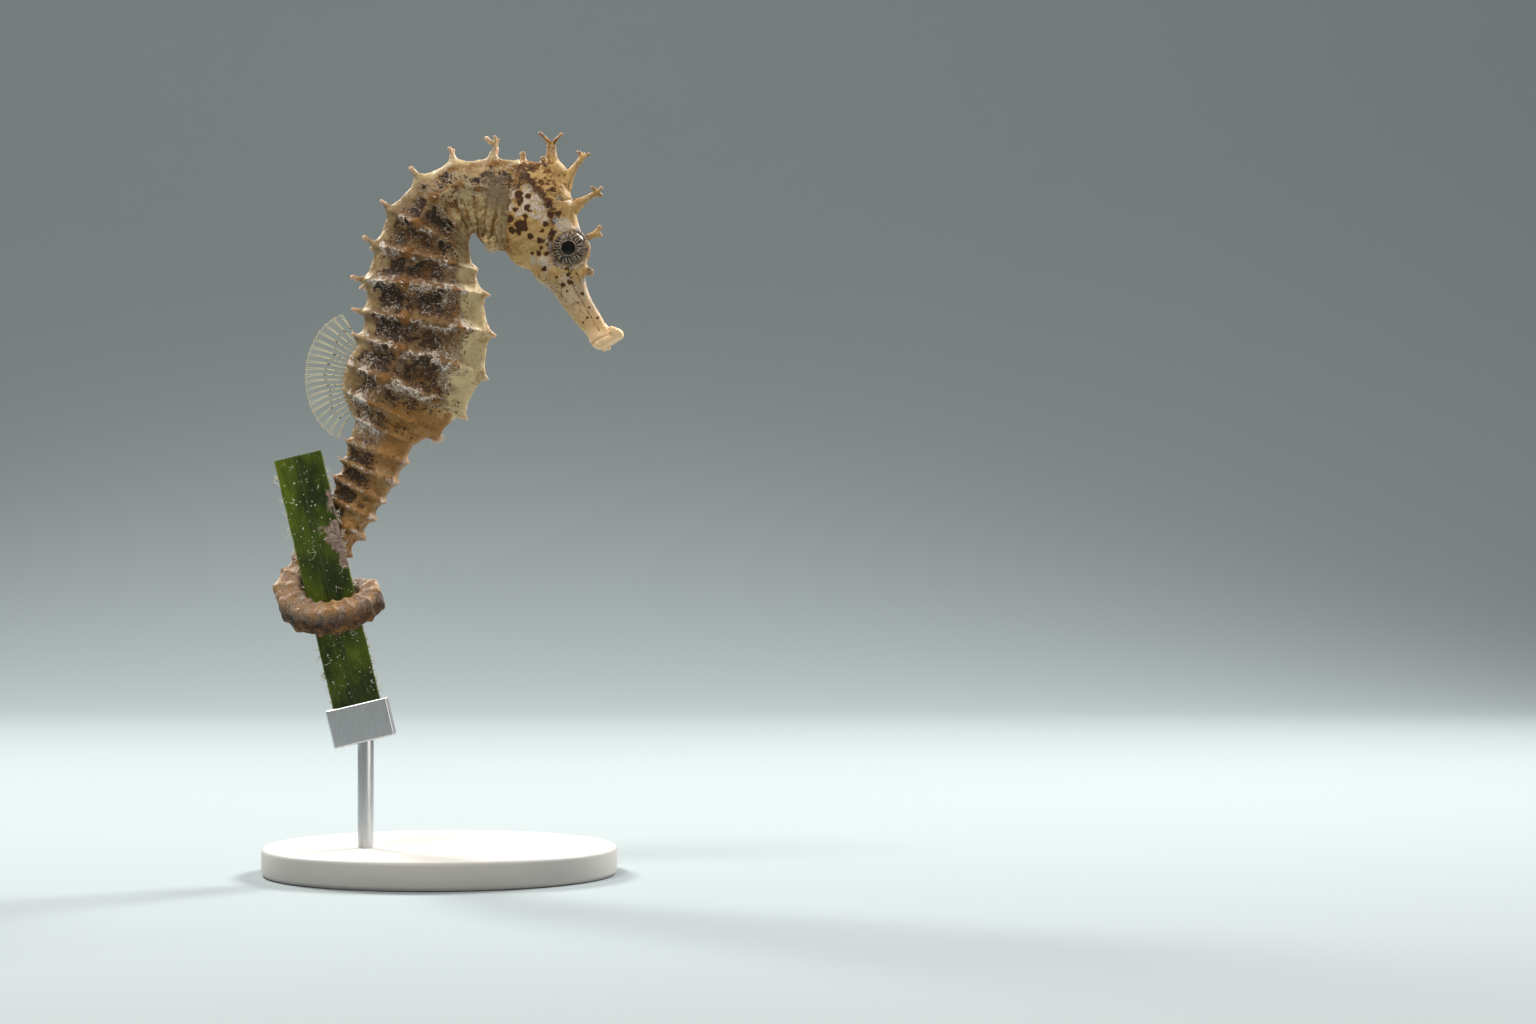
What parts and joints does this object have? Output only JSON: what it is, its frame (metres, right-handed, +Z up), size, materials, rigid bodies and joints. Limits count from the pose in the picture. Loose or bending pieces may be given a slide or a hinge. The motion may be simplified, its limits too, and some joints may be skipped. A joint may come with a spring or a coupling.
{
  "type": "seahorse",
  "caption": "Life-size spiny seahorse in side-on swimming pose, tail curled round a short cut length of seagrass blade held by a small round display stand.",
  "frame": {"origin": "centre of the stand base's underside", "axes": "+Z up; the seahorse faces +X and its mid-plane is y = 0; its right side faces -Y"},
  "size_m": [0.0632, 0.062, 0.13],
  "materials": {
    "skin": "matt bony skin, tan and cream with dark brown saddles and pale flecks",
    "eye": "wet glossy eye, black pupil in a pale spoked iris",
    "fin": "thin translucent membrane with pale rays",
    "seagrass": "satin green leaf with pale flecks",
    "stand_metal": "satin steel",
    "stand_paint": "plain matt, pale warm grey"
  },
  "bodies": {
    "root": {"head": "skin", "snout": "skin", "coronet": "skin", "eye_left": "eye", "eye_right": "eye", "neck": "skin", "chest": "skin", "trunk": "skin", "belly": "skin", "tail_base": "skin", "tail_bend": "skin", "tail_coil_left": "skin", "tail_coil_front": "skin", "tail_coil_right": "skin", "tail_tip": "skin", "dorsal_fin": "fin", "pectoral_fin_left": "fin", "pectoral_fin_right": "fin", "anal_fin": "fin", "seagrass_blade": "seagrass", "stand_clip": "stand_metal", "stand_rod": "stand_metal", "stand_base": "stand_paint"}
  },
  "joints": []
}
